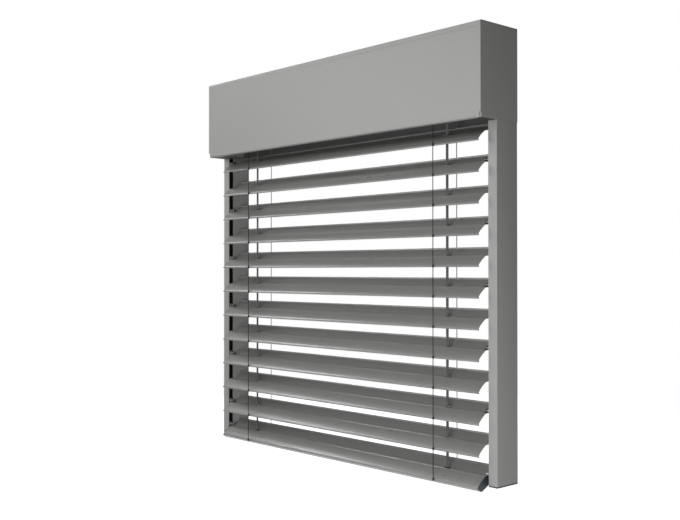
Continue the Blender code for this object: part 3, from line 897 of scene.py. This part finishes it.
def build_bottom_rail():
    origin = pivot_of("tilt")
    upper, _, whole = slat_sides()
    front = [(whole[0][0] - BEAD[-1][1] / 2, whole[0][1] - 0.6)]
    outline = rounded(front + upper + list(BOTTOM_HOOK + BOTTOM_UNDER), 0.8, 3)
    low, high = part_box("bottom_rail")
    bm = bmesh.new()
    hollow = in_metres(rounded(BOTTOM_HOLLOW, 0.8, 2), origin)
    prism(bm, in_metres(outline, origin), (low.x, high.x), "X", [hollow])
    rail = add_piece("bottom_rail_extrusion", bm, "slat_grey", "bottom_bar")
    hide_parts("bottom_rail")
    for name in ("left", "right"):
        cap_low, cap_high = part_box(f"bottom_rail_cap_{name}")
        bm = bmesh.new()
        prism(bm, in_metres(outline, origin), (cap_low.x, cap_high.x), "X")
        cap = add_piece(f"bottom_cap_{name}", bm, "cap_plastic", "bottom_bar")
        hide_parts(f"bottom_rail_cap_{name}")
        build_pin(f"bottom_shoe_{name}", f"bottom_pin_{name}", "bottom_carriage")
    build_clips("bottom", origin, "bottom_bar")
    for side in ("left", "right"):
        tape_low, tape_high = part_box(f"lift_tape_{side}")
        centre = ((tape_low.x + tape_high.x) / 2, origin[0])
        plate = rounded(rectangle_about(centre, ANCHOR_HALF), 2.4 * MM, 4)
        hole = rounded(rectangle_about(centre, ANCHOR_SLOT), 0.5 * MM, 2)
        bm = bmesh.new()
        prism(bm, plate, [origin[1] + level * MM for level in ANCHOR_LEVELS], "Z", [hole])
        add_piece(f"tape_anchor_{side}", bm, "black_plastic", "bottom_bar")


# ---------------------------------------------------------------- tapes and cords


def cord_mesh(route, radius, sides=10):
    """A smooth round cord through a route of points, finely divided along its length."""
    bm = bmesh.new()
    rings = []
    for x, y, z in route:
        rings.append([
            bm.verts.new((x + radius * math.cos(a), y + radius * math.sin(a), z))
            for a in (math.tau * k / sides for k in range(sides))
        ])
    for one, two in zip(rings, rings[1:]):
        for k in range(sides):
            m = (k + 1) % sides
            bm.faces.new((one[k], one[m], two[m], two[k]))
    bm.faces.new(rings[0])
    bm.faces.new(rings[-1])
    return bm


def shortens(obj):
    """Gives the piece its own copy of its mesh."""
    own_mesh(obj)


def build_cords():
    first = pivot_of("tilt_01")
    radius = CORD_RADIUS * MM
    for side in ("left", "right"):
        for row, (offset, lip) in LADDERS.items():
            node = f"ladder_{row}_{side}"
            low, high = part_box(node)
            x = (low.x + high.x) / 2
            y = first[0] + offset * MM
            top_y = high.y - radius if row == "front" else low.y + radius
            bend = first[1] + (lip + 8) * MM
            route, steps = [(x, top_y, high.z)], 8
            for k in range(1, steps + 1):
                t = k / steps
                eased = t * t * (3 - 2 * t)
                route.append((x, top_y + (y - top_y) * eased, high.z + (bend - high.z) * t))
            route.append((x, y, low.z))
            cord = add_piece(f"{node}_cord", cord_mesh(route, radius), f"{row}_cord", f"ladder_{row}")
            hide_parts(node)
            shortens(cord)
        node = f"lift_tape_{side}"
        low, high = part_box(node)
        bm = bmesh.new()
        outline = rectangle((low.x, high.x), (low.y, high.y))
        prism(bm, rounded(outline, 0.15 * MM, 2), (low.z, high.z), "Z")
        tape = add_piece(f"{node}_webbing", bm, "tape_fabric", "base")
        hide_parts(node)
        shortens(tape)


# ---------------------------------------------------------------- finishes of the CAD nodes that stay


def finish_cad_nodes():
    slots = {part["node"]: part["material_slot"] for part in frame["record"]["subparts"]}
    for name, node in frame["nodes"].items():
        node.data.materials.clear()
        # The hood's back panel gets a darker grey than its slot: painted shade under the hood
        node.data.materials.append(SHADED_BACK_PANEL if name == "hood_back_panel" else MATERIALS[slots[name]])
        if not node.hide_render:
            soften(node, 0.4 * MM, 2)


# ---------------------------------------------------------------- studio

# Soft light from above, as a light on the object: its strength, how narrow it is, and the least light
SKY_GLOW, SKY_POWER, AMBIENT = 0.3, 3.0, 0.005
# How bright the white surroundings are in the object's own reflections
MIRRORED = 0.41
# A low white card behind the object on the left, which only the object's reflections see: its direction,
# its strength, the cosines where it starts and is full, and the sines of height where it ends and is full
CARD_TOWARD, CARD_GLOW = (-0.74, 0.67, 0.0), 1.2
CARD_SIDES, CARD_HEIGHT = (0.75, 0.9), (0.3, 0.12)
FLOOR_GLOW = 0.9
FLOOR_HALF = 2.0
FLOOR_DROP = 0.12
# Large soft lamps: place, the point each faces, its width, and its power in watts
LAMPS = (
    ((-2.4, -1.0, 1.1), (-0.1, -0.06, -0.35), 0.7, 11.5),
    ((-0.9, -1.4, 0.1), (-0.25, 0.0, -0.3), 0.9, 6.2),
    ((0.6, -1.5, 1.1), (0.3, 0.0, 0.0), 1.0, 5.6),
    ((0.7, -1.3, -0.7), (0.4, 0.0, -0.5), 0.9, 8.6),
    ((1.5, -0.1, -1.0), (0.5, -0.06, -0.7), 0.6, 3.6),
    ((-1.6, 1.6, 0.1), (0.0, -0.06, -0.4), 0.7, 6.0),
)


def build_world():
    """White to the camera, soft light from above on the object, and a dimmer white in its reflections."""
    world = bpy.data.worlds.new("studio")
    bpy.context.scene.world = world
    world.use_nodes = True
    tree = world.node_tree

    def math_node(operation, a, b):
        made = tree.nodes.new("ShaderNodeMath")
        made.operation = operation
        for value, socket in ((a, made.inputs[0]), (b, made.inputs[1])):
            if hasattr(value, "links"):
                tree.links.new(value, socket)
            else:
                socket.default_value = value
        return made.outputs["Value"]

    def ramp(value, start, end, top):
        made = tree.nodes.new("ShaderNodeMapRange")
        tree.links.new(value, made.inputs["Value"])
        numbers = {"From Min": start, "From Max": end, "To Min": 0.0, "To Max": top}
        for name, number in numbers.items():
            made.inputs[name].default_value = number
        return made.outputs["Result"]

    direction = tree.nodes.new("ShaderNodeTexCoord").outputs["Generated"]
    split = tree.nodes.new("ShaderNodeSeparateXYZ")
    tree.links.new(direction, split.inputs["Vector"])
    height = split.outputs["Z"]
    sky = math_node("POWER", math_node("MAXIMUM", height, 0.0), SKY_POWER)
    sky = math_node("ADD", AMBIENT, math_node("MULTIPLY", sky, SKY_GLOW))

    toward_card = tree.nodes.new("ShaderNodeVectorMath")
    toward_card.operation = "DOT_PRODUCT"
    tree.links.new(direction, toward_card.inputs[0])
    toward_card.inputs[1].default_value = CARD_TOWARD
    low = ramp(math_node("ABSOLUTE", height, 0.0), *CARD_HEIGHT, 1.0)
    card = math_node("MULTIPLY", ramp(toward_card.outputs["Value"], *CARD_SIDES, CARD_GLOW), low)

    path = tree.nodes.new("ShaderNodeLightPath").outputs
    white = math_node("MULTIPLY", path["Is Glossy Ray"], math_node("ADD", card, MIRRORED))
    white = math_node("MAXIMUM", white, path["Is Camera Ray"])
    background = tree.nodes["Background"].inputs
    tree.links.new(math_node("MAXIMUM", sky, white), background["Strength"])
    background["Color"].default_value = (1.0, 1.0, 1.0, 1.0)


def build_floor():
    """A plain pale studio floor well below the blind, which hangs on a wall."""
    bm = bmesh.new()
    reach = (-FLOOR_HALF, FLOOR_HALF)
    outline = rounded(rectangle(reach, reach), 0.6, 10)
    level = CAD_BOX[0].z - FLOOR_DROP
    bm.faces.new([bm.verts.new((x, y, level)) for x, y in outline])
    mesh = bpy.data.meshes.new("studio_floor")
    bm.to_mesh(mesh)
    bm.free()
    s = Surface("studio_floor", emission_strength=FLOOR_GLOW)
    s.shader.inputs["Emission Color"].default_value = (1.0, 1.0, 1.0, 1.0)
    tone = s.blend(s.noise(1.5, 3.0), (0.80, 0.80, 0.80), (0.84, 0.84, 0.84))
    s.bump(s.noise(300.0, 2.0), 0.1 * MM, 0.2)
    mesh.materials.append(s.finish(tone, s.spread(s.noise(8.0, 2.0), 0.0, 1.0, 0.85, 0.95)))
    floor = bpy.data.objects.new("studio_floor", mesh)
    bpy.context.scene.collection.objects.link(floor)
    floor.visible_diffuse = False


def build_lamps():
    for number, (place, target, width, power) in enumerate(LAMPS, 1):
        lamp = bpy.data.lights.new(f"lamp_{number}", "AREA")
        lamp.shape = "DISK"
        lamp.size = width
        lamp.energy = power
        holder = bpy.data.objects.new(f"lamp_{number}", lamp)
        holder.location = place
        holder.rotation_euler = (Vector(target) - Vector(place)).to_track_quat("-Z", "Y").to_euler()
        holder.visible_camera = False
        bpy.context.scene.collection.objects.link(holder)


def build_studio():
    scene = bpy.context.scene
    scene.view_settings.view_transform = "Standard"
    camera = bpy.data.cameras.new("camera")
    camera.lens = LENS_MM
    camera.sensor_width = SENSOR_MM
    camera.sensor_fit = "HORIZONTAL"
    holder = bpy.data.objects.new("camera", camera)
    holder.location = CAMERA_PLACE
    holder.rotation_euler = CAMERA_TURN
    scene.collection.objects.link(holder)
    scene.camera = holder
    build_world()
    build_floor()
    build_lamps()


build_studio()
build_hood()
build_guide_rail(-1, "left")
build_guide_rail(1, "right")
build_slats()
build_bottom_rail()
build_cords()
finish_cad_nodes()

bpy.context.view_layer.update()
